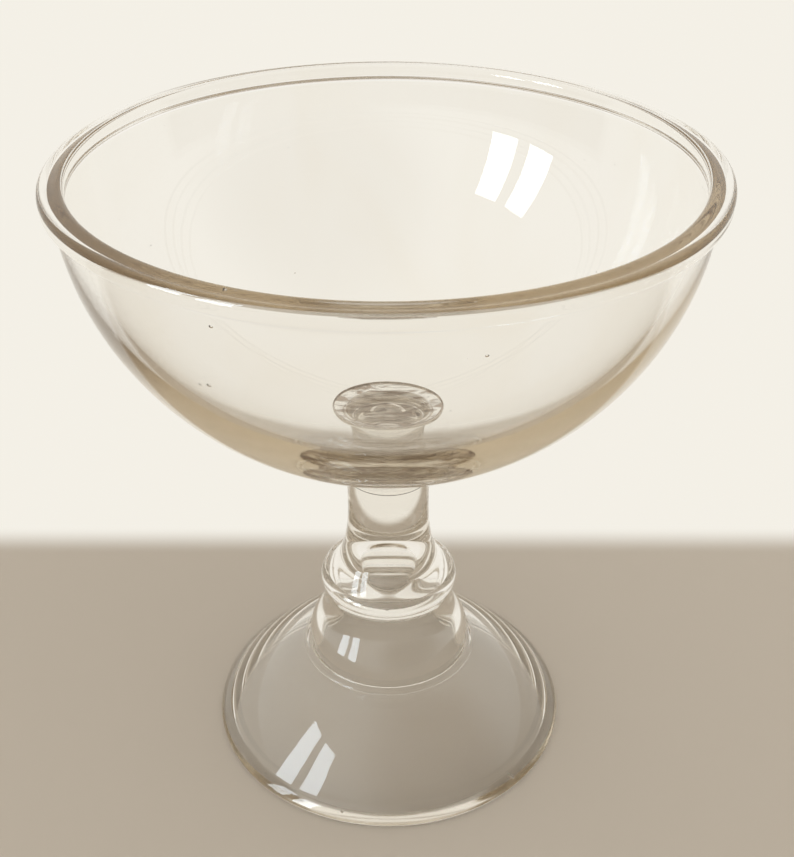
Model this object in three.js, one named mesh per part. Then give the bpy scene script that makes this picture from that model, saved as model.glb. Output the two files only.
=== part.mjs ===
// A clear pressed-glass pedestal dish. A deep round bowl with a rolled rim is welded, by a
// wafer of hot glass, onto a pedestal that was pressed hollow from below in one piece: solid
// stem, ring, rounded collar, domed foot. Millimetres, +Z up, standing on Z = 0.
import * as THREE from 'three';

// Foot: a dome that runs out to a thick edge, bevelled above and ground flat underneath.
const FOOT_RADIUS = 64.5;
const FOOT_EDGE_HEIGHT = 5.4;
const FOOT_BEVEL_WIDTH = 3.7;
const BASE_RING_WIDTH = 6.4;
const BASE_CORNER_ROUND = 1.2;
const DOME_RISE = 25.4;

// Collar: the rounded swelling that stands on the dome, with a fine bead round its root.
const COLLAR_RADIUS = 29.2;
const COLLAR_RISE = 28.2;
const COLLAR_BEAD_WIDTH = 2.5;
const COLLAR_BEAD_HEIGHT = 1;
const COLLAR_FILLET = 3.7;
const COLLAR_SHOULDER = 9;
const COLLAR_WALL = 4.1;

// Ring: the round moulding between the collar and the stem.
const RING_RADIUS = 24.4;
const RING_THICKNESS = 6;
const RING_NECK_RADIUS = 22.2;

// Stem: solid above, with a long flare below down to the ring.
const STEM_RADIUS = 14.2;
const STEM_FLARE_RADIUS = 22;
const STEM_FLARE_HEIGHT = 32;
const STEM_LENGTH = 40.5;

// The bullet-shaped hollow that the press left inside the ring and the root of the stem.
const HOLLOW_RADIUS = 10;
const HOLLOW_REACH = 14;

// Wafer: the weld of hot glass between the stem and the bowl.
const WAFER_HEIGHT = 15.4;
const WAFER_EDGE_THICKNESS = 3;
const WAFER_EDGE_BULGE = 0.5;
const WAFER_LIP = 0.35;

// Bowl: its seat is the flat disc under it that the wafer grips.
const BOWL_RADIUS = 98.7;
const BOWL_DEPTH = 97.9;
const BOWL_WALL = 4.4;
const BOWL_BASE_THICKNESS = 8.9;
const BOWL_SEAT_RADIUS = 20.5;
const BOWL_ROUNDNESS = 1.09;

// Rim: the fire-polished roll, proud of the wall outside, with a flat top and a round inner edge.
// It rises above the height at which the bowl is widest.
const RIM_OVERHANG = 3.3;
const RIM_HEIGHT = 5.6;
const RIM_RISE = 2.4;
const RIM_EDGE_ROUND = 1.6;

// Facets around the axis, and steps along a long curve, a short one and a small round.
const FACETS = 48;
const LONG_CURVE = 10;
const SHORT_CURVE = 5;
const SMALL_ROUND = 3;

// Heights of the pieces above the table, each standing on the one below.
const domeTop = FOOT_EDGE_HEIGHT + DOME_RISE;
const beadTop = domeTop + COLLAR_BEAD_HEIGHT;
const collarMiddle = beadTop + COLLAR_FILLET;
const collarShoulder = collarMiddle + COLLAR_SHOULDER;
const ringBottom = domeTop + COLLAR_RISE;
const ringTop = ringBottom + RING_THICKNESS;
const stemTop = ringTop + STEM_LENGTH;
const waferTop = stemTop + WAFER_HEIGHT;

const point = (radius, height) => new THREE.Vector2(radius, height);

// A smooth stretch of outline from one point to another, drawn by two handles.
const bend = (start, handleA, handleB, end, steps) =>
  new THREE.CubicBezierCurve(start, handleA, handleB, end).getPoints(steps);

// A stretch of an ellipse, angles in radians from the outward direction, turning upwards.
const round = (centre, radialSize, uprightSize, from, to, steps) =>
  new THREE.EllipseCurve(centre.x, centre.y, radialSize, uprightSize, from, to, to < from).getPoints(steps);

// One round solid from the stretches of its half section, which run anticlockwise from axis to axis.
function turned(name, stretches, material) {
  const section = stretches.flat();
  const outline = section.filter((p, i) => i === 0 || p.distanceTo(section[i - 1]) > 1e-4);
  const geometry = new THREE.LatheGeometry(outline, FACETS);
  geometry.rotateX(Math.PI / 2);
  const mesh = new THREE.Mesh(geometry, material);
  mesh.name = name;
  return mesh;
}

const clearGlass = (color) =>
  new THREE.MeshStandardMaterial({ color, roughness: 0.04, metalness: 0, transparent: true, opacity: 0.4 });

// A bowl wall is a round cup a little fuller or leaner than an ellipse. Its sweep runs from
// zero at the axis to a quarter turn where the bowl is widest.
function cupPoint(radius, depth, widestHeight, sweep) {
  return point(radius * Math.sin(sweep) ** BOWL_ROUNDNESS, widestHeight - depth * Math.cos(sweep));
}

function cupWall(radius, depth, widestHeight, from, to) {
  const wall = [];
  for (let i = 0; i <= LONG_CURVE; i += 1) {
    wall.push(cupPoint(radius, depth, widestHeight, from + ((to - from) * i) / LONG_CURVE));
  }
  return wall;
}

function makeBowl() {
  const seatSweep = Math.asin((BOWL_SEAT_RADIUS / BOWL_RADIUS) ** (1 / BOWL_ROUNDNESS));
  const widestHeight = waferTop + BOWL_DEPTH * Math.cos(seatSweep);
  const insideRadius = BOWL_RADIUS - BOWL_WALL;
  const insideDepth = BOWL_DEPTH - BOWL_BASE_THICKNESS;

  const outerEnd = Math.acos((RIM_HEIGHT - RIM_RISE) / BOWL_DEPTH);
  const innerStart = Math.acos((RIM_EDGE_ROUND - RIM_RISE) / insideDepth);
  const root = cupPoint(BOWL_RADIUS, BOWL_DEPTH, widestHeight, outerEnd);
  const edge = cupPoint(insideRadius, insideDepth, widestHeight, innerStart);
  const belly = point(BOWL_RADIUS + RIM_OVERHANG, widestHeight);
  const crest = point(edge.x + RIM_EDGE_ROUND, edge.y + RIM_EDGE_ROUND);

  return turned('bowl', [
    [point(0, waferTop)],
    cupWall(BOWL_RADIUS, BOWL_DEPTH, widestHeight, seatSweep, outerEnd),
    bend(root, point(belly.x, root.y), point(belly.x, root.y), belly, SHORT_CURVE),
    bend(
      belly,
      point(belly.x, crest.y - RIM_EDGE_ROUND / 2),
      point(belly.x - RIM_EDGE_ROUND, crest.y),
      crest,
      SHORT_CURVE,
    ),
    round(point(crest.x, edge.y), RIM_EDGE_ROUND, RIM_EDGE_ROUND, Math.PI / 2, Math.PI, SMALL_ROUND),
    cupWall(insideRadius, insideDepth, widestHeight, innerStart, 0),
  ], clearGlass('#ece9e0'));
}

function makeJoiningWafer() {
  const lowRadius = STEM_RADIUS + WAFER_LIP;
  const edgeRadius = BOWL_SEAT_RADIUS + WAFER_EDGE_BULGE;
  const edgeBottom = waferTop - WAFER_EDGE_THICKNESS;
  const edge = point(BOWL_SEAT_RADIUS, waferTop - WAFER_EDGE_THICKNESS / 2);
  const fillet = (edgeBottom - stemTop) / 2;

  return turned('joining_wafer', [
    [point(0, stemTop)],
    bend(
      point(lowRadius, stemTop),
      point(lowRadius, stemTop + fillet),
      point(lowRadius, edgeBottom),
      point(BOWL_SEAT_RADIUS, edgeBottom),
      SHORT_CURVE,
    ),
    round(edge, edgeRadius - BOWL_SEAT_RADIUS, WAFER_EDGE_THICKNESS / 2, -Math.PI / 2, Math.PI / 2, SHORT_CURVE),
    [point(0, waferTop)],
  ], clearGlass('#e6e2d6'));
}

// Inside of the pedestal, from the tip of the hollow down to the edge of the base ring.
function pedestalInside() {
  const hollow = point(HOLLOW_RADIUS, ringTop);
  const neck = point(RING_NECK_RADIUS - COLLAR_WALL, ringBottom - RING_THICKNESS);
  const cheek = point(COLLAR_RADIUS - COLLAR_WALL, domeTop - COLLAR_BEAD_HEIGHT);
  const skirt = point(FOOT_RADIUS - BASE_RING_WIDTH, 0);
  const shoulder = collarShoulder - RING_THICKNESS / 2;
  const run = skirt.x - cheek.x;
  return [
    round(point(0, hollow.y), hollow.x, HOLLOW_REACH, Math.PI / 2, 0, LONG_CURVE),
    bend(hollow, point(hollow.x, ringBottom), point(neck.x, ringBottom), neck, SHORT_CURVE),
    bend(neck, point(neck.x, shoulder), point(cheek.x, shoulder), cheek, LONG_CURVE),
    bend(
      cheek,
      point(cheek.x + run / 3, cheek.y - DOME_RISE / 8),
      point(skirt.x - run / 6, skirt.y + cheek.y / 3),
      skirt,
      LONG_CURVE,
    ),
  ];
}

// Outside of the pedestal, from the base ring up to the foot of the wafer.
function pedestalOutside() {
  const corner = point(FOOT_RADIUS - BASE_CORNER_ROUND, BASE_CORNER_ROUND);
  const skirt = point(FOOT_RADIUS - FOOT_BEVEL_WIDTH, FOOT_EDGE_HEIGHT);
  const root = point(COLLAR_RADIUS + COLLAR_BEAD_WIDTH, domeTop);
  const lip = point(root.x - COLLAR_BEAD_HEIGHT, beadTop);
  const collar = point(COLLAR_RADIUS, collarMiddle);
  const neck = point(RING_NECK_RADIUS, ringBottom);
  const ring = point(RING_NECK_RADIUS, ringBottom + RING_THICKNESS / 2);
  const flare = point(STEM_FLARE_RADIUS, ringTop);
  const bevel = skirt.y - corner.y;
  const run = skirt.x - root.x;
  return [
    round(corner, BASE_CORNER_ROUND, BASE_CORNER_ROUND, -Math.PI / 2, 0, SMALL_ROUND),
    bend(
      point(FOOT_RADIUS, corner.y),
      point(FOOT_RADIUS, corner.y + bevel / 3),
      point(skirt.x + FOOT_BEVEL_WIDTH / 2, skirt.y - bevel / 4),
      skirt,
      SMALL_ROUND,
    ),
    bend(
      skirt,
      point(skirt.x - run / 8, skirt.y + run / 6),
      point(root.x + run * 0.4, root.y - run * 0.2),
      root,
      LONG_CURVE,
    ),
    round(point(lip.x, root.y), COLLAR_BEAD_HEIGHT, COLLAR_BEAD_HEIGHT, 0, Math.PI / 2, SMALL_ROUND),
    bend(lip, point(collar.x, lip.y), point(collar.x, lip.y), collar, SMALL_ROUND),
    bend(collar, point(collar.x, collarShoulder), point(neck.x, collarShoulder), neck, LONG_CURVE),
    round(ring, RING_RADIUS - ring.x, RING_THICKNESS / 2, -Math.PI / 2, Math.PI / 2, LONG_CURVE),
    bend(
      flare,
      point((flare.x + STEM_RADIUS) / 2, ringTop + STEM_FLARE_HEIGHT / 7),
      point(STEM_RADIUS, ringTop + STEM_FLARE_HEIGHT * 0.4),
      point(STEM_RADIUS, ringTop + STEM_FLARE_HEIGHT),
      LONG_CURVE,
    ),
    [point(STEM_RADIUS, stemTop), point(0, stemTop)],
  ];
}

const pedestalDish = new THREE.Group();
pedestalDish.add(
  makeBowl(),
  makeJoiningWafer(),
  turned('pedestal', [...pedestalInside(), ...pedestalOutside()], clearGlass('#eae6dc')),
);

export default pedestalDish;
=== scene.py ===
"""Looks of a clear pressed-glass pedestal dish, laid out as an add-on and run as a script.

Metres, +Z up. The dish stands on Z = 0 with its axis on the Z axis.
"""
import math
import random

import bmesh
import bpy
from bpy.props import FloatProperty, FloatVectorProperty, PointerProperty
from mathutils import Euler, Matrix, Vector


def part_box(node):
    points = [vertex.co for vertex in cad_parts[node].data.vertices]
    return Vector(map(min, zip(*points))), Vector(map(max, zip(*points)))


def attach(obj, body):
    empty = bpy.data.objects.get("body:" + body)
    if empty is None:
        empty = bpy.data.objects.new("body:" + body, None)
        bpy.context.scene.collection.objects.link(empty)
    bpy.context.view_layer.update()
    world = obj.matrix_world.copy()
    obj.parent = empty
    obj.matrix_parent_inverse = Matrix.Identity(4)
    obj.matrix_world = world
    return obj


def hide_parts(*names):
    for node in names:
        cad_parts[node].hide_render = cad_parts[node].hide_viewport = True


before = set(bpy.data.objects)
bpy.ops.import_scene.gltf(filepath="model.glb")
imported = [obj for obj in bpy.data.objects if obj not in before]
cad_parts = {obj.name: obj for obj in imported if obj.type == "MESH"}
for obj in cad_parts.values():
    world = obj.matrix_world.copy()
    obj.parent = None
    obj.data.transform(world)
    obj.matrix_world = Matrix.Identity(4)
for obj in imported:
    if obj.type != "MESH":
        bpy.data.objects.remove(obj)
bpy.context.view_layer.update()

bl_info = {
    "name": "Pedestal Dish",
    "version": (1, 0, 0),
    "blender": (4, 5, 0),
    "location": "View3D > Sidebar > Dish",
    "description": "Builds a clear pressed-glass pedestal dish on a plain studio floor",
    "category": "Object",
}

MM = 0.001

# Heights and radii that the frame fixes.
RIM_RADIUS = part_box("bowl")[1].x
RIM_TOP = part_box("bowl")[1].z
SEAT_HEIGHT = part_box("bowl")[0].z
WAFER_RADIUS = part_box("joining_wafer")[1].x
STEM_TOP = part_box("pedestal")[1].z
FOOT_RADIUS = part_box("pedestal")[1].x

# Faces around the axis, and steps along long, middling and short curves and small rounds.
BOWL_FACES = 432
PEDESTAL_FACES = 360
LONG_CURVE = 56
MIDDLE_CURVE = 28
SHORT_CURVE = 18
SMALL_ROUND = 7

# Points of a section that lie closer together, or closer to the axis, than this count as one.
SAME_SPOT = 1e-6

# The welds sink this far into their neighbours, so that no film of air is left in the joint.
WELD_BITE = 0.06 * MM


def length(name, description, default):
    """A size in metres that a user may change."""
    return FloatProperty(
        name=name, description=description, default=default, min=0.0, unit="LENGTH", precision=5)


def colour(name, description, default):
    """A colour that a user may change."""
    return FloatVectorProperty(
        name=name, description=description, default=default, subtype="COLOR", min=0, max=1)


class DishSizes(bpy.types.PropertyGroup):
    """Sizes of the glass that the frame's boxes don't give."""

    bowl_wall: length("Bowl wall", "Glass in the bowl's wall just under the rim", 4.4 * MM)
    bowl_base: length("Bowl base", "Glass at the bottom of the bowl, on the axis", 8.9 * MM)
    bowl_roundness: FloatProperty(
        name="Bowl roundness", description="One is an ellipse; more is leaner at the bottom", default=1.09)
    rim_overhang: length("Rim overhang", "How far the rolled rim stands out of the wall", 3.3 * MM)
    rim_height: length("Rim height", "Height of the rolled rim", 5.6 * MM)
    rim_rise: length("Rim rise", "How far the rim stands above where the bowl is widest", 2.4 * MM)
    rim_round: length("Rim round", "Radius of the rim's inner edge", 1.6 * MM)
    rim_groove: length("Rim groove", "Depth of the crease between that edge and the roll", 0.6 * MM)
    wafer_edge: length("Wafer edge", "Thickness of the wafer's round edge", 3 * MM)
    wafer_bulge: length("Wafer bulge", "How far the wafer's edge bulges past the bowl's seat", 0.5 * MM)
    wafer_lip: length("Wafer lip", "How far the wafer's foot stands out of the stem", 0.35 * MM)
    stem_radius: length("Stem radius", "Radius of the stem at its top", 14.2 * MM)
    stem_flare: length("Stem flare", "Radius of the stem where it meets the ring", 22 * MM)
    stem_flare_height: length("Stem flare height", "How far the flare reaches up the stem", 27 * MM)
    stem_length: length("Stem length", "From the ring to the wafer", 40.5 * MM)
    ring_radius: length("Ring radius", "Outer radius of the ring", 24.4 * MM)
    ring_thickness: length("Ring thickness", "Height of the ring", 6 * MM)
    neck_radius: length("Neck radius", "Radius of the crease under the ring", 22.2 * MM)
    collar_radius: length("Collar radius", "Largest radius of the collar", 29.2 * MM)
    collar_bead_width: length("Collar bead width", "How far the bead round its root stands out", 2.5 * MM)
    collar_bead_height: length("Collar bead height", "Height of that bead", 1.0 * MM)
    collar_fillet: length("Collar fillet", "From the bead up to the collar's largest radius", 3.7 * MM)
    collar_shoulder: length("Collar shoulder", "How far the collar swells above that radius", 9 * MM)
    collar_wall: length("Collar wall", "Glass in the collar's wall", 4.1 * MM)
    dome_rise: length("Dome rise", "Height of the foot's dome above its edge", 25.4 * MM)
    foot_edge: length("Foot edge", "Height of the foot's edge", 5.4 * MM)
    foot_bevel: length("Foot bevel", "Width of the rounded bevel between that edge and the dome", 3.7 * MM)
    base_ring: length("Base ring", "Width of the ground ring that the dish stands on", 6.4 * MM)
    base_corner: length("Base corner", "Radius of the foot edge's lower corner", 1.2 * MM)
    hollow_radius: length("Hollow radius", "Radius of the bullet-shaped hollow in the stem's root", 10 * MM)
    hollow_reach: length("Hollow reach", "How far the hollow reaches above the ring", 14 * MM)


class GlassFinish(bpy.types.PropertyGroup):
    """Colour and wear of the glass."""

    clear: colour("Clear glass", "Tint of the cleanest glass", (1.0, 1.0, 0.996))
    streak: colour("Streaks", "Tint of the streaks in the glass", (0.985, 0.976, 0.955))
    depth_tint: colour("Depth tint", "What thick glass turns to", (0.6, 0.46, 0.2))
    depth_density: FloatProperty(
        name="Depth", description="How soon thick glass takes that tint", default=6.0)
    bending: FloatProperty(name="Index of refraction", description="Old soda-lime glass", default=1.51)
    # Painted shade: the dark brown that the weld disc is tinted with, standing in for the dark surroundings
    # seen through it.
    weld_painted_shade: colour("Weld painted shade", "Tint of the film that the hot weld left", (0.2, 0.14, 0.1))
    wave_depth: length("Wave depth", "Depth of the slow waves that the press left", 0.012 * MM)
    seam_height: length("Seam height", "Height of the mould seam where it crosses the ring", 0.28 * MM)


class StageLook(bpy.types.PropertyGroup):
    """Floor and light."""

    near_floor: colour("Floor under the dish", "Pale sand", (0.72, 0.64, 0.545))
    far_floor: colour("Floor behind it", "Off-white, shown as it is written", (0.905, 0.872, 0.795))
    room: colour("Room", "What the glass sees around it", (0.95, 0.925, 0.87))
    shade: colour("Shaded side", "What the glass sees above and behind the camera", (0.36, 0.3, 0.23))
    daylight: colour("Daylight", "Colour of the tall softboxes", (0.8, 0.91, 1.0))
    room_level: FloatProperty(
        name="Room level", description="Strength of the soft light all round", default=0.73)
    softbox_power: FloatProperty(
        name="Softbox power", description="Power of each tall softbox", default=10.0, subtype="POWER")


# Half sections: points are (radius, height), and stretches run anticlockwise.

def bend(start, handle_a, handle_b, end, steps):
    """A smooth stretch drawn by two handles; points lie closer near its ends, to keep creases crisp."""
    points = []
    for i in range(steps + 1):
        share = i / steps
        t = share * share * (3 - 2 * share)
        weights = ((1 - t) ** 3, 3 * (1 - t) ** 2 * t, 3 * (1 - t) * t ** 2, t ** 3)
        corners = (start, handle_a, handle_b, end)
        points.append(tuple(sum(w * c[axis] for w, c in zip(weights, corners)) for axis in (0, 1)))
    return points


def arc(centre, radial, upright, start, end, steps):
    """A stretch of an ellipse; angles are in radians from the outward direction."""
    turns = (start + (end - start) * i / steps for i in range(steps + 1))
    return [(centre[0] + radial * math.cos(a), centre[1] + upright * math.sin(a)) for a in turns]


def straight(start, end, hold=0.15 * MM):
    """A straight stretch with a point held close to each end, so that its face shades flat."""
    span = math.dist(start, end)
    shares = (0.0, hold / span, 1 - hold / span, 1.0)
    return [tuple(a + (b - a) * s for a, b in zip(start, end)) for s in shares]


def joined(*stretches):
    """One outline from its stretches, without doubled points."""
    outline = []
    for spot in (p for stretch in stretches for p in stretch):
        if not outline or math.dist(spot, outline[-1]) > SAME_SPOT:
            outline.append(spot)
    return outline


def cup_wall(radius, depth, widest, roundness, start, end):
    """The wall of a round cup; its sweep is zero at the axis and a quarter turn at its widest height."""
    sweeps = (start + (end - start) * i / LONG_CURVE for i in range(LONG_CURVE + 1))
    return [(radius * math.sin(s) ** roundness, widest - depth * math.cos(s)) for s in sweeps]


def bowl_section(sizes):
    """The bowl's half section: seat, outside, rolled rim, inside."""
    outside_radius = RIM_RADIUS - sizes.rim_overhang
    inside_radius = outside_radius - sizes.bowl_wall
    seat_radius = WAFER_RADIUS - sizes.wafer_bulge
    seat_sweep = math.asin((seat_radius / outside_radius) ** (1 / sizes.bowl_roundness))
    widest = RIM_TOP - sizes.rim_rise
    outside_depth = (widest - SEAT_HEIGHT) / math.cos(seat_sweep)
    inside_depth = outside_depth - sizes.bowl_base

    outer_end = math.acos((sizes.rim_height - sizes.rim_rise) / outside_depth)
    inner_start = math.acos((sizes.rim_round - sizes.rim_rise) / inside_depth)
    outside = cup_wall(outside_radius, outside_depth, widest, sizes.bowl_roundness, seat_sweep, outer_end)
    inside = cup_wall(inside_radius, inside_depth, widest, sizes.bowl_roundness, inner_start, 0.0)
    root = outside[-1]
    edge = inside[0]
    belly = (RIM_RADIUS, widest)
    crest = (edge[0] + sizes.rim_round, RIM_TOP)
    crease = ((belly[0] + crest[0]) / 2, RIM_TOP - sizes.rim_groove)
    reach = (belly[0] - crease[0]) / 3
    return joined(
        straight((0.0, SEAT_HEIGHT), (seat_radius, SEAT_HEIGHT)),
        outside,
        bend(root, (belly[0], root[1]), (belly[0], root[1]), belly, SHORT_CURVE),
        bend(belly, (belly[0], RIM_TOP), (crease[0] + reach, RIM_TOP), crease, LONG_CURVE),
        bend(crease, (crease[0] - reach, crease[1]), (crest[0] + reach, RIM_TOP), crest, SHORT_CURVE),
        arc((crest[0], edge[1]), sizes.rim_round, sizes.rim_round, math.pi / 2, math.pi, SHORT_CURVE),
        inside,
    )


def wafer_section(sizes):
    """The wafer's half section: foot on the stem, hollow neck, round edge, top under the bowl."""
    low_radius = sizes.stem_radius + sizes.wafer_lip
    edge_bottom = SEAT_HEIGHT - sizes.wafer_edge
    edge = (WAFER_RADIUS - sizes.wafer_bulge, SEAT_HEIGHT - sizes.wafer_edge / 2)
    foot = STEM_TOP - WELD_BITE
    top = SEAT_HEIGHT + WELD_BITE
    fillet = (edge_bottom - STEM_TOP) / 2
    return joined(
        straight((0.0, foot), (low_radius, foot)),
        bend((low_radius, foot), (low_radius, STEM_TOP + fillet), (low_radius, edge_bottom),
             (edge[0], edge_bottom), SHORT_CURVE),
        arc(edge, sizes.wafer_bulge, sizes.wafer_edge / 2, -math.pi / 2, math.pi / 2, SHORT_CURVE),
        straight((edge[0], top), (0.0, top)),
    )


def pedestal_section(sizes):
    """The pedestal's half section: the press's hollow from its tip down, then the outside up."""
    dome_top = sizes.foot_edge + sizes.dome_rise
    ring_top = STEM_TOP - sizes.stem_length
    ring_bottom = ring_top - sizes.ring_thickness
    half_ring = sizes.ring_thickness / 2

    corner = (FOOT_RADIUS - sizes.base_corner, sizes.base_corner)
    skirt = (FOOT_RADIUS - sizes.foot_bevel, sizes.foot_edge)
    bead = sizes.collar_bead_height
    root = (sizes.collar_radius + sizes.collar_bead_width, dome_top)
    lip = (root[0] - bead, root[1] + bead)
    collar = (sizes.collar_radius, lip[1] + sizes.collar_fillet)
    neck = (sizes.neck_radius, ring_bottom)
    flare = (sizes.stem_flare, ring_top)
    flare_height = sizes.stem_flare_height
    stem = sizes.stem_radius
    run = skirt[0] - root[0]
    bevel = skirt[1] - corner[1]
    shoulder = collar[1] + sizes.collar_shoulder
    outside = (
        arc(corner, sizes.base_corner, sizes.base_corner, -math.pi / 2, 0.0, SMALL_ROUND),
        bend((FOOT_RADIUS, corner[1]), (FOOT_RADIUS, corner[1] + bevel / 3),
             (skirt[0] + sizes.foot_bevel / 2, skirt[1] - bevel / 4), skirt, SHORT_CURVE),
        bend(skirt, (skirt[0] - run / 8, skirt[1] + run / 6), (root[0] + run * 0.4, root[1] - run * 0.2),
             root, LONG_CURVE),
        arc((lip[0], root[1]), bead, bead, 0.0, math.pi / 2, SMALL_ROUND),
        bend(lip, (collar[0], lip[1]), (collar[0], lip[1]), collar, SHORT_CURVE),
        bend(collar, (collar[0], shoulder), (neck[0], shoulder), neck, MIDDLE_CURVE),
        arc((neck[0], ring_bottom + half_ring), sizes.ring_radius - neck[0], half_ring,
            -math.pi / 2, math.pi / 2, SHORT_CURVE),
        bend(flare, ((flare[0] + stem) / 2, ring_top + flare_height / 7),
             (stem, ring_top + flare_height * 0.4), (stem, ring_top + flare_height), MIDDLE_CURVE),
        straight((stem, ring_top + flare_height), (stem, STEM_TOP)),
        straight((stem, STEM_TOP), (0.0, STEM_TOP)),
    )

    inner_neck = (neck[0] - sizes.collar_wall, neck[1] - sizes.ring_thickness)
    cheek = (collar[0] - sizes.collar_wall, dome_top - bead)
    inner_skirt = (FOOT_RADIUS - sizes.base_ring, 0.0)
    inner_run = inner_skirt[0] - cheek[0]
    inner_shoulder = shoulder - half_ring
    hollow = (sizes.hollow_radius, ring_top)
    inside = (
        arc((0.0, hollow[1]), hollow[0], sizes.hollow_reach, math.pi / 2, 0.0, SHORT_CURVE),
        bend(hollow, (hollow[0], ring_bottom), (inner_neck[0], ring_bottom), inner_neck, SHORT_CURVE),
        bend(inner_neck, (inner_neck[0], inner_shoulder), (cheek[0], inner_shoulder), cheek, SHORT_CURVE),
        bend(cheek, (cheek[0] + inner_run / 3, cheek[1] - sizes.dome_rise / 8),
             (inner_skirt[0] - inner_run / 6, cheek[1] / 3), inner_skirt, MIDDLE_CURVE),
        straight(inner_skirt, (corner[0], 0.0)),
    )
    return joined(*inside, *outside)


# Meshes

def turn(bm, section, faces, uneven):
    """Turns a half section round the axis; uneven moves each point as hand work would."""
    rings = []
    for radius, height in section:
        if radius < SAME_SPOT:
            rings.append([bm.verts.new((0.0, 0.0, height))])
            continue
        ring = []
        for i in range(faces):
            angle = 2 * math.pi * i / faces
            r, z = uneven(radius, angle, height)
            ring.append(bm.verts.new((r * math.cos(angle), r * math.sin(angle), z)))
        rings.append(ring)
    for low, high in zip(rings, rings[1:]):
        for i in range(faces):
            j = (i + 1) % faces
            if len(low) == 1:
                bm.faces.new((low[0], high[j], high[i]))
            elif len(high) == 1:
                bm.faces.new((low[i], low[j], high[0]))
            else:
                bm.faces.new((low[i], low[j], high[j], high[i]))


def wobble(angle, waves):
    """What slow waves round the axis add up to; each has a size, a count per turn and a start."""
    return sum(size * math.cos(count * angle + start) for size, count, start in waves)


def around(azimuth, radius, height):
    """A point from its compass angle in degrees, its radius and its height."""
    angle = math.radians(azimuth)
    return (radius * math.cos(angle), radius * math.sin(angle), height)


def add_void(bm, centre, radii, turned=(0.0, 0.0, 0.0)):
    """A tiny closed pocket of air in the glass: its faces look into the air, away from the glass."""
    place = Matrix.LocRotScale(Vector(centre), Euler(turned), Vector(radii))
    made = bmesh.ops.create_icosphere(bm, subdivisions=2, radius=1.0, matrix=place)
    faces = {face for vert in made["verts"] for face in vert.link_faces}
    bmesh.ops.reverse_faces(bm, faces=list(faces))


def finish_piece(bm, name, material, node):
    """Makes the piece that stands for a frame node."""
    mesh = bpy.data.meshes.new(name)
    bm.to_mesh(mesh)
    bm.free()
    mesh.shade_smooth()
    mesh.materials.append(material)
    piece = bpy.data.objects.new(name, mesh)
    bpy.context.scene.collection.objects.link(piece)
    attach(piece, "root")
    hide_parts(node)


# Shader nodes

# Where a mix node keeps its two colours and the one that it makes.
MIX_FIRST = 6
MIX_SECOND = 7
MIX_RESULT = 2


def add_node(tree, kind, inputs=None, **settings):
    """A node with its settings; inputs holds values, or sockets to link from."""
    made = tree.nodes.new(kind)
    for name, value in settings.items():
        setattr(made, name, value)
    for name, value in (inputs or {}).items():
        if isinstance(value, bpy.types.NodeSocket):
            tree.links.new(value, made.inputs[name])
        else:
            made.inputs[name].default_value = value
    return made


def calc(tree, operation, *values):
    """What a math node makes of its values, which are numbers or sockets."""
    return add_node(tree, "ShaderNodeMath", dict(enumerate(values)), operation=operation).outputs[0]


def ramp(tree, value, start, end, at_start=0.0, at_end=1.0, kind="LINEAR"):
    """Runs from at_start to at_end while the value runs from start to end."""
    limits = {"From Min": start, "From Max": end, "To Min": at_start, "To Max": at_end}
    return add_node(
        tree, "ShaderNodeMapRange", {"Value": value, **limits}, interpolation_type=kind).outputs[0]


def place_on_piece(tree):
    """Where on its object a shader is asked for, in metres."""
    return add_node(tree, "ShaderNodeTexCoord").outputs["Object"]


def along(tree, axis):
    """How far along one of its object's axes a shader is asked for."""
    return add_node(tree, "ShaderNodeSeparateXYZ", {0: place_on_piece(tree)}).outputs[axis]


def stretched(tree, place, factors):
    """A place multiplied along each axis, to squeeze a pattern or to draw it out."""
    return add_node(tree, "ShaderNodeVectorMath", {0: place, 1: factors}, operation="MULTIPLY").outputs[0]


def cloud(tree, place, scale, detail, distortion=0.0):
    """Soft noise around one half."""
    settings = {"Vector": place, "Scale": scale, "Detail": detail, "Distortion": distortion}
    return add_node(tree, "ShaderNodeTexNoise", settings).outputs[0]


def mixed_colour(tree, share, first, second):
    """The first colour where share is zero, the second where it is one."""
    colours = {0: share, MIX_FIRST: first, MIX_SECOND: second}
    return add_node(tree, "ShaderNodeMix", colours, data_type="RGBA").outputs[MIX_RESULT]


def show_mixed(tree, share, first, second, end):
    """Sends the end node the first shader where share is zero, and the second where it is one."""
    mixed = add_node(tree, "ShaderNodeMixShader", {0: share, 1: first, 2: second})
    tree.links.new(mixed.outputs[0], tree.nodes[end].inputs["Surface"])


def seen_rays(tree):
    """One for rays that look at the stage, straight or in the glass; zero for rays that light it."""
    path = add_node(tree, "ShaderNodeLightPath").outputs
    in_glass = calc(tree, "MAXIMUM", path["Is Glossy Ray"], path["Is Transmission Ray"])
    return calc(tree, "MAXIMUM", path["Is Camera Ray"], in_glass)


def new_group(name, inputs, output, output_kind):
    """An empty node group with named inputs and one output: the group, its inputs, its output."""
    group = bpy.data.node_groups.new(name, "ShaderNodeTree")
    for label, kind, default in inputs:
        socket = group.interface.new_socket(label, in_out="INPUT", socket_type=kind)
        socket.default_value = default
    group.interface.new_socket(output, in_out="OUTPUT", socket_type=output_kind)
    given = group.nodes.new("NodeGroupInput").outputs
    result = group.nodes.new("NodeGroupOutput").inputs[output]
    return group, given, result


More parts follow.
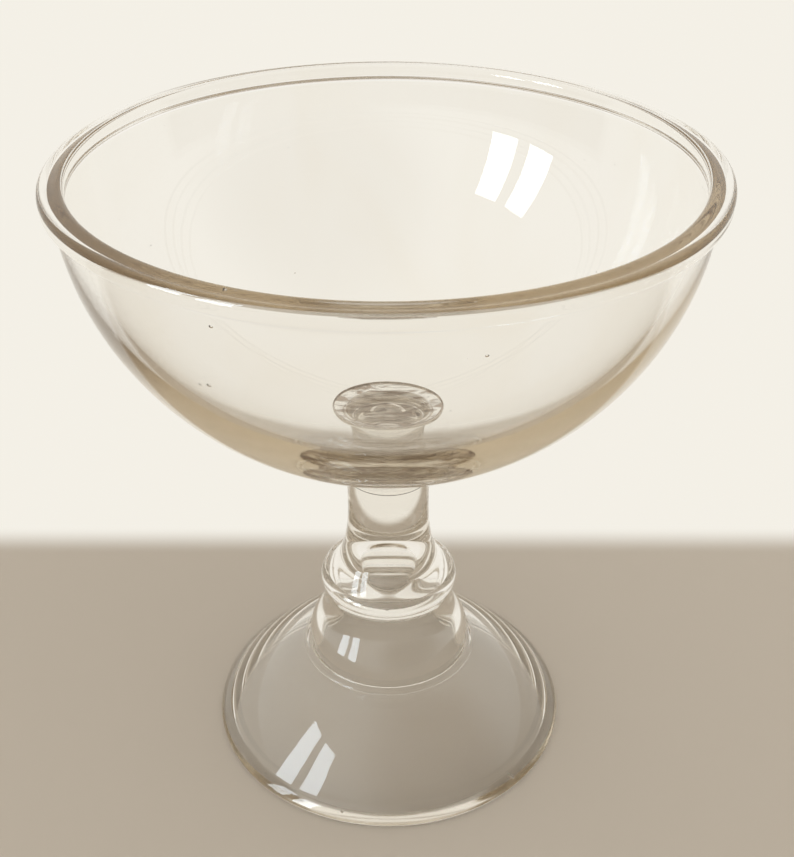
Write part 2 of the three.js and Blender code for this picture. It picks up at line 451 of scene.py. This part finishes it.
def wave_group():
    """Slow waves and drawn-out ripples that pressing and fire-polishing leave in the surface."""
    group, given, result = new_group(
        "Pressed Waves", [("Wave Size", "NodeSocketFloat", 0.02)], "Height", "NodeSocketFloat")
    place = place_on_piece(group)
    scale = calc(group, "DIVIDE", 1.0, given["Wave Size"])
    slow = cloud(group, place, scale, detail=2.0)
    ripple = cloud(group, stretched(group, place, (0.6, 0.6, 4.0)), scale, detail=1.0)
    group.links.new(calc(group, "MULTIPLY_ADD", ripple, 0.5, slow), result)
    return group


def wear_group():
    """Hair scratches and dull specks on polished glass, as a roughness."""
    # Two sets of scratches: how each is turned, and how its lines are drawn out.
    scratch_sets = (((0.3, 0.5, 0.9), (14.0, 260.0, 14.0)), ((1.1, -0.4, 2.2), (220.0, 12.0, 18.0)))
    scratch_level = 0.62
    scratch_width = 0.004
    speck_scale = 70.0
    speck_core = 0.012
    speck_edge = 0.022

    group, given, result = new_group(
        "Table Wear", [("Scratches", "NodeSocketFloat", 0.12), ("Specks", "NodeSocketFloat", 0.3)],
        "Roughness", "NodeSocketFloat")
    place = place_on_piece(group)
    total = 0.0
    for turn_by, pull in scratch_sets:
        turned = add_node(group, "ShaderNodeVectorRotate", {"Vector": place, "Rotation": turn_by},
                          rotation_type="EULER_XYZ").outputs[0]
        hairs = cloud(group, stretched(group, turned, pull), 1.0, detail=1.0)
        away = calc(group, "ABSOLUTE", calc(group, "SUBTRACT", hairs, scratch_level))
        line = ramp(group, away, 0.0, scratch_width, 1.0, 0.0)
        total = calc(group, "MULTIPLY_ADD", line, given["Scratches"], total)
    dots = add_node(group, "ShaderNodeTexVoronoi", {"Vector": place, "Scale": speck_scale, "Randomness": 1.0})
    speck = ramp(group, dots.outputs["Distance"], speck_core, speck_edge, 1.0, 0.0)
    group.links.new(calc(group, "MULTIPLY_ADD", speck, given["Specks"], total), result)
    return group


def streak_group():
    """Cords of slightly darker glass, drawn out along the axis, as a colour."""
    group, given, result = new_group(
        "Glass Streaks",
        [("Clear", "NodeSocketColor", (1, 1, 1, 1)), ("Streak", "NodeSocketColor", (1, 1, 1, 1)),
         ("Streak Size", "NodeSocketFloat", 0.03)],
        "Color", "NodeSocketColor")
    scale = calc(group, "DIVIDE", 1.0, given["Streak Size"])
    drawn = stretched(group, place_on_piece(group), (1.0, 1.0, 0.35))
    share = ramp(group, cloud(group, drawn, scale, detail=3.0, distortion=1.2), 0.45, 0.75)
    group.links.new(mixed_colour(group, share, given["Clear"], given["Streak"]), result)
    return group


def weld_painted_shade_group():
    """Painted shade in the weld disc under the bowl: dark swirls and a dark line round them, as a colour,
    standing in for the dark surroundings seen through it.
    """
    group, given, result = new_group(
        "Weld Painted Shade",
        [("Clear", "NodeSocketColor", (1, 1, 1, 1)), ("Painted Shade", "NodeSocketColor", (1, 1, 1, 1)),
         ("Height", "NodeSocketFloat", 0.0), ("Radius", "NodeSocketFloat", 0.02)],
        "Color", "NodeSocketColor")
    level = stretched(group, place_on_piece(group), (1.0, 1.0, 0.0))
    reach = add_node(group, "ShaderNodeVectorMath", {0: level}, operation="LENGTH").outputs["Value"]
    # Painted shade: a dark outline just inside the wafer's edge, and dark swirls across the disc.
    line = ramp(group, calc(group, "DIVIDE", reach, given["Radius"]), 0.94, 0.955)
    drawn = stretched(group, level, (0.5, 1.2, 0.0))
    swirl = ramp(group, cloud(group, drawn, 150.0, detail=3.0, distortion=2.0), 0.4, 0.58)
    at_weld = calc(group, "GREATER_THAN", along(group, "Z"), given["Height"])
    share = calc(group, "MULTIPLY", calc(group, "MAXIMUM", line, swirl), at_weld)
    group.links.new(mixed_colour(group, share, given["Clear"], given["Painted Shade"]), result)
    return group


def use_group(tree, name, build, values=None):
    """Places a shared node group with its own values; the group is built when it is first asked for."""
    group = bpy.data.node_groups.get(name) or build()
    return add_node(tree, "ShaderNodeGroup", values, node_tree=group).outputs[0]


# How rough the ground base ring is; the rest of the glass is fire-polished.
GROUND_ROUGHNESS = 0.06


def glass(name, finish, wave_size, streak_size, ground_to=None, weld_from=None):
    """Old clear glass. Below the height ground_to, it is ground and less smooth; above weld_from, it carries
    the weld disc's painted shade.
    """
    material = bpy.data.materials.new(name)
    material.use_nodes = True
    tree = material.node_tree
    shader = tree.nodes["Principled BSDF"]

    tint = use_group(tree, "Glass Streaks", streak_group, {
        "Clear": (*finish.clear, 1.0), "Streak": (*finish.streak, 1.0), "Streak Size": streak_size})
    # The weld disc takes painted shade: dark swirls and a dark outline over the glass's tint.
    if weld_from is not None:
        tint = use_group(tree, "Weld Painted Shade", weld_painted_shade_group, {
            "Clear": tint, "Painted Shade": (*finish.weld_painted_shade, 1.0), "Height": weld_from, "Radius": WAFER_RADIUS})
    tree.links.new(tint, shader.inputs["Base Color"])

    roughness = use_group(tree, "Table Wear", wear_group)
    if ground_to is not None:
        grind = ramp(tree, along(tree, "Z"), 0.0, ground_to, GROUND_ROUGHNESS, 0.0)
        roughness = calc(tree, "MAXIMUM", grind, roughness)
    tree.links.new(roughness, shader.inputs["Roughness"])

    waves = use_group(tree, "Pressed Waves", wave_group, {"Wave Size": wave_size})
    bump = add_node(tree, "ShaderNodeBump", {"Strength": 1.0, "Distance": finish.wave_depth, "Height": waves})
    tree.links.new(bump.outputs["Normal"], shader.inputs["Normal"])

    shader.inputs["Metallic"].default_value = 0.0
    shader.inputs["IOR"].default_value = finish.bending
    shader.inputs["Transmission Weight"].default_value = 1.0
    depth = add_node(tree, "ShaderNodeVolumeAbsorption", {
        "Color": (*finish.depth_tint, 1.0), "Density": finish.depth_density})
    tree.links.new(depth.outputs["Volume"], tree.nodes["Material Output"].inputs["Volume"])
    return material


# Operators

class DISH_OT_make_bowl(bpy.types.Operator):
    """Turn the bowl with its rolled rim, a little out of true, with a few seeds in its wall"""

    bl_idname = "dish.make_bowl"
    bl_label = "Make Bowl"

    # Slow waves round the axis: size, count per turn and start.
    OUT_OF_ROUND = ((0.16 * MM, 2, 0.6), (0.09 * MM, 3, 1.9))
    RIM_DIP = ((0.22 * MM, 3, 0.4), (0.12 * MM, 5, 0.0))

    # Seeds that show from the front: compass angle, height and radius.
    SEEDS = (
        (-116, 207.5 * MM, 0.42 * MM),
        (-121, 187.0 * MM, 0.34 * MM),
        (-119, 187.8 * MM, 0.5 * MM),
        (-75, 202.7 * MM, 0.38 * MM),
    )

    # Finer seeds anywhere in the wall, between two heights and two radii.
    FINE_SEEDS = 22
    FINE_HEIGHTS = (145 * MM, 210 * MM)
    FINE_RADII = (0.1 * MM, 0.24 * MM)

    def execute(self, context):
        sizes = context.scene.dish_sizes
        section = bowl_section(sizes)

        def uneven(radius, angle, height):
            share = radius / RIM_RADIUS
            dip = wobble(angle, self.RIM_DIP) * share ** 4
            return radius + wobble(angle, self.OUT_OF_ROUND) * share, height + dip

        bm = bmesh.new()
        turn(bm, section, BOWL_FACES, uneven)
        for azimuth, height, size in self.SEEDS:
            self.add_seed(bm, section, sizes.bowl_wall, azimuth, height, size)
        chance = random.Random(11)
        for _ in range(self.FINE_SEEDS):
            height = chance.uniform(*self.FINE_HEIGHTS)
            azimuth = chance.uniform(0, 360)
            size = chance.uniform(*self.FINE_RADII)
            self.add_seed(bm, section, sizes.bowl_wall, azimuth, height, size)
        material = glass("bowl_clear_glass", context.scene.dish_finish, wave_size=0.03, streak_size=0.05)
        finish_piece(bm, "rolled_rim_bowl", material, "bowl")
        return {"FINISHED"}

    def add_seed(self, bm, section, wall, azimuth, height, size):
        """A seed in the middle of the wall, drawn out round the bowl."""
        outside = max(r for r, z in section if abs(z - height) < 3 * MM)
        middle = outside - wall * 0.55
        turned = (0.0, 0.0, math.radians(azimuth))
        add_void(bm, around(azimuth, middle, height), (size * 0.8, size * 1.5, size), turned)


class DISH_OT_make_wafer(bpy.types.Operator):
    """Turn the wafer of glass that welds the bowl to the stem"""

    bl_idname = "dish.make_wafer"
    bl_label = "Make Wafer"

    # Slow waves round the axis: size, count per turn and start.
    SAG = ((0.18 * MM, 2, 2.1), (0.1 * MM, 3, 0.0))

    def execute(self, context):
        sizes = context.scene.dish_sizes
        inner = sizes.stem_radius

        def uneven(radius, angle, height):
            share = max(0.0, (radius - inner) / (WAFER_RADIUS - inner))
            return radius + wobble(angle, self.SAG) * share, height

        bm = bmesh.new()
        turn(bm, wafer_section(sizes), BOWL_FACES, uneven)
        # The wafer's top, above the bowl's seat, carries the painted shade of the weld disc.
        material = glass("wafer_clear_glass", context.scene.dish_finish, wave_size=0.012, streak_size=0.02,
                         weld_from=SEAT_HEIGHT)
        finish_piece(bm, "weld_wafer", material, "joining_wafer")
        return {"FINISHED"}


class DISH_OT_make_pedestal(bpy.types.Operator):
    """Turn the pressed pedestal, with its mould seams and the marks in its foot"""

    bl_idname = "dish.make_pedestal"
    bl_label = "Make Pedestal"

    # Slow waves round the axis: size, count per turn and start.
    OUT_OF_ROUND = ((0.1 * MM, 2, 1.1),)

    # Mould seams, which show where they cross the ring.
    SEAM_ANGLES = (-91, 29, 149)
    SEAM_WIDTH = 1.1 * MM
    SEAM_SPREAD = 0.45

    # The underside is ground up to this height.
    GROUND_TO = 0.08 * MM

    # Marks in the foot's edge: compass angle, radii and turn of each.
    BUBBLE = (-105, (0.5 * MM, 0.62 * MM, 0.5 * MM), (0.0, 0.0, 0.0))
    FISSURE = (-45, (1.5 * MM, 0.07 * MM, 1.7 * MM), (0.2, 0.3, math.radians(-30)))
    FINE_SEEDS = 10
    FINE_HEIGHTS = (1.5 * MM, 4 * MM)
    FINE_RADII = (0.1 * MM, 0.2 * MM)

    def execute(self, context):
        sizes = context.scene.dish_sizes
        finish = context.scene.dish_finish
        ring_middle = STEM_TOP - sizes.stem_length - sizes.ring_thickness / 2
        spread = self.SEAM_SPREAD * sizes.ring_thickness

        def uneven(radius, angle, height):
            seam = 0.0
            for seam_angle in self.SEAM_ANGLES:
                aside = math.remainder(angle - math.radians(seam_angle), 2 * math.pi) * radius
                seam += math.exp(-(aside / (self.SEAM_WIDTH / 2)) ** 2)
            near_ring = math.exp(-((height - ring_middle) / spread) ** 2)
            ridge = finish.seam_height * seam * near_ring if radius > sizes.neck_radius else 0.0
            out_of_round = wobble(angle, self.OUT_OF_ROUND) * radius / FOOT_RADIUS
            return radius + ridge + out_of_round, height

        bm = bmesh.new()
        turn(bm, pedestal_section(sizes), PEDESTAL_FACES, uneven)
        self.add_marks(bm, sizes)
        material = glass("pedestal_clear_glass", finish, wave_size=0.018, streak_size=0.03,
                         ground_to=self.GROUND_TO)
        finish_piece(bm, "pressed_pedestal", material, "pedestal")
        return {"FINISHED"}

    def add_marks(self, bm, sizes):
        """A bubble and a short fissure in the foot's edge, and fine seeds further in."""
        for azimuth, radii, turned in (self.BUBBLE, self.FISSURE):
            spot = around(azimuth, FOOT_RADIUS - 0.4 * sizes.base_ring, 0.55 * sizes.foot_edge)
            add_void(bm, spot, radii, turned)
        chance = random.Random(5)
        for _ in range(self.FINE_SEEDS):
            azimuth = chance.uniform(0, 360)
            height = chance.uniform(*self.FINE_HEIGHTS)
            size = chance.uniform(*self.FINE_RADII)
            add_void(bm, around(azimuth, FOOT_RADIUS - 0.5 * sizes.base_ring, height), (size, size, size))


class DISH_OT_make_stage(bpy.types.Operator):
    """Lay the floor, hang the softboxes and set up the camera"""

    bl_idname = "dish.make_stage"
    bl_label = "Make Stage"

    # The photograph's frame, and the camera found from the dish's outlines in it.
    FRAME_HEIGHT = 857
    FOCAL_PIXELS = 1269.6
    CAMERA_PLACE = (3.05 * MM, -363.31 * MM, 351.85 * MM)
    CAMERA_PITCH = math.radians(32.2)

    # The foot stands on a hair of air, so that floor and glass never lie in one plane.
    FLOOR_GAP = 0.05 * MM

    # A round floor, and how far behind the axis its sand colour ends and its white begins.
    FLOOR_RADIUS = 6.0
    FLOOR_SIDES = 96
    SAND_EDGE = 0.09
    WHITE_EDGE = 0.11

    # The shaded side of the room: its direction, and how closely a ray faces it
    # where the shade starts and where it is full.
    SHADE_SIDE = Vector((0.5, -0.7, 0.5)).normalized()
    SHADE_START = 0.5
    SHADE_FULL = 0.95

    # Tall softboxes: how far they stand to the left of the camera's side, in degrees, and their sizes.
    SOFTBOX_ANGLES = (50, 67)
    SOFTBOX_DISTANCE = 1.5
    SOFTBOX_WIDTH = 0.3
    SOFTBOX_HEIGHT = 1.24
    SOFTBOX_MIDDLE = 0.65

    # Light that the walls pipe round the bowl is mirrored inside them thirty times and more.
    MIRRORED_BOUNCES = 96
    THROUGH_BOUNCES = 64

    def execute(self, context):
        look = context.scene.dish_stage
        self.lay_floor(look)
        self.fill_room(look)
        for angle in self.SOFTBOX_ANGLES:
            self.hang_softbox(look, math.radians(angle))
        self.set_camera(context)
        context.scene.view_settings.view_transform = "Standard"
        context.scene.cycles.max_bounces = self.MIRRORED_BOUNCES
        context.scene.cycles.glossy_bounces = self.MIRRORED_BOUNCES
        context.scene.cycles.transmission_bounces = self.THROUGH_BOUNCES
        return {"FINISHED"}

    def lay_floor(self, look):
        """A wide plain floor: pale sand under the dish, an off-white backdrop behind it."""
        bm = bmesh.new()
        bmesh.ops.create_circle(bm, cap_ends=True, segments=self.FLOOR_SIDES, radius=self.FLOOR_RADIUS)
        mesh = bpy.data.meshes.new("floor")
        bm.to_mesh(mesh)
        bm.free()

        material = bpy.data.materials.new("plain_floor")
        material.use_nodes = True
        tree = material.node_tree
        shader = tree.nodes["Principled BSDF"]
        shader.inputs["Base Color"].default_value = (*look.near_floor, 1.0)
        shader.inputs["Roughness"].default_value = 0.9
        shader.inputs["Specular IOR Level"].default_value = 0.0
        pale = add_node(tree, "ShaderNodeEmission", {"Color": (*look.far_floor, 1.0), "Strength": 1.0})
        far = ramp(tree, along(tree, "Y"), self.SAND_EDGE, self.WHITE_EDGE, kind="SMOOTHSTEP")
        shown = calc(tree, "MULTIPLY", far, seen_rays(tree))
        show_mixed(tree, shown, shader.outputs[0], pale.outputs[0], "Material Output")
        mesh.materials.append(material)

        floor = bpy.data.objects.new("floor", mesh)
        floor.location.z = -self.FLOOR_GAP
        bpy.context.scene.collection.objects.link(floor)

    def fill_room(self, look):
        """Soft light all round; what is seen in the glass has a shaded side above and behind the camera."""
        world = bpy.data.worlds.new("studio")
        world.use_nodes = True
        tree = world.node_tree
        light = tree.nodes["Background"]
        light.inputs["Color"].default_value = (*look.room, 1.0)
        light.inputs["Strength"].default_value = look.room_level
        towards = add_node(tree, "ShaderNodeTexCoord").outputs["Generated"]
        facing = add_node(
            tree, "ShaderNodeVectorMath", {0: towards, 1: self.SHADE_SIDE}, operation="DOT_PRODUCT")
        share = ramp(tree, facing.outputs["Value"], self.SHADE_START, self.SHADE_FULL, kind="SMOOTHSTEP")
        around_glass = mixed_colour(tree, share, (*look.room, 1.0), (*look.shade, 1.0))
        seen = add_node(tree, "ShaderNodeBackground", {"Color": around_glass, "Strength": 1.0})
        show_mixed(tree, seen_rays(tree), light.outputs[0], seen.outputs[0], "World Output")
        bpy.context.scene.world = world

    def hang_softbox(self, look, angle):
        """A tall softbox to the left of the camera, facing the dish and seen as a reflection alone."""
        data = bpy.data.lights.new("tall_softbox", "AREA")
        data.shape = "RECTANGLE"
        data.size = self.SOFTBOX_WIDTH
        data.size_y = self.SOFTBOX_HEIGHT
        data.energy = look.softbox_power
        data.color = look.daylight
        softbox = bpy.data.objects.new("tall_softbox", data)
        left = self.SOFTBOX_DISTANCE * math.sin(angle)
        nearer = self.SOFTBOX_DISTANCE * math.cos(angle)
        softbox.location = (-left, -nearer, self.SOFTBOX_MIDDLE)
        softbox.rotation_euler = (math.pi / 2, 0.0, -angle)
        softbox.visible_diffuse = False
        softbox.visible_transmission = False
        bpy.context.scene.collection.objects.link(softbox)

    def set_camera(self, context):
        """The camera at the photograph's viewing angle."""
        data = bpy.data.cameras.new("photo_camera")
        data.lens = self.FOCAL_PIXELS / self.FRAME_HEIGHT * data.sensor_width
        data.clip_start = 0.01
        camera = bpy.data.objects.new("photo_camera", data)
        camera.location = self.CAMERA_PLACE
        camera.rotation_euler = (math.pi / 2 - self.CAMERA_PITCH, 0.0, 0.0)
        context.scene.collection.objects.link(camera)
        context.scene.camera = camera


class DISH_PT_panel(bpy.types.Panel):
    """Sizes, finish and stage of the dish, with a button for each piece"""

    bl_idname = "DISH_PT_panel"
    bl_label = "Pedestal Dish"
    bl_space_type = "VIEW_3D"
    bl_region_type = "UI"
    bl_category = "Dish"

    def draw(self, context):
        for operator in OPERATORS:
            self.layout.operator(operator.bl_idname)
        for holder in (context.scene.dish_sizes, context.scene.dish_finish, context.scene.dish_stage):
            column = self.layout.column(align=True)
            for name in holder.__annotations__:
                column.prop(holder, name)


OPERATORS = (DISH_OT_make_bowl, DISH_OT_make_wafer, DISH_OT_make_pedestal, DISH_OT_make_stage)
CLASSES = (DishSizes, GlassFinish, StageLook, *OPERATORS, DISH_PT_panel)


def register():
    for cls in CLASSES:
        bpy.utils.register_class(cls)
    bpy.types.Scene.dish_sizes = PointerProperty(type=DishSizes)
    bpy.types.Scene.dish_finish = PointerProperty(type=GlassFinish)
    bpy.types.Scene.dish_stage = PointerProperty(type=StageLook)


def unregister():
    del bpy.types.Scene.dish_stage
    del bpy.types.Scene.dish_finish
    del bpy.types.Scene.dish_sizes
    for cls in reversed(CLASSES):
        bpy.utils.unregister_class(cls)


def main():
    register()
    bpy.ops.dish.make_bowl()
    bpy.ops.dish.make_wafer()
    bpy.ops.dish.make_pedestal()
    bpy.ops.dish.make_stage()


if __name__ == "__main__":
    main()
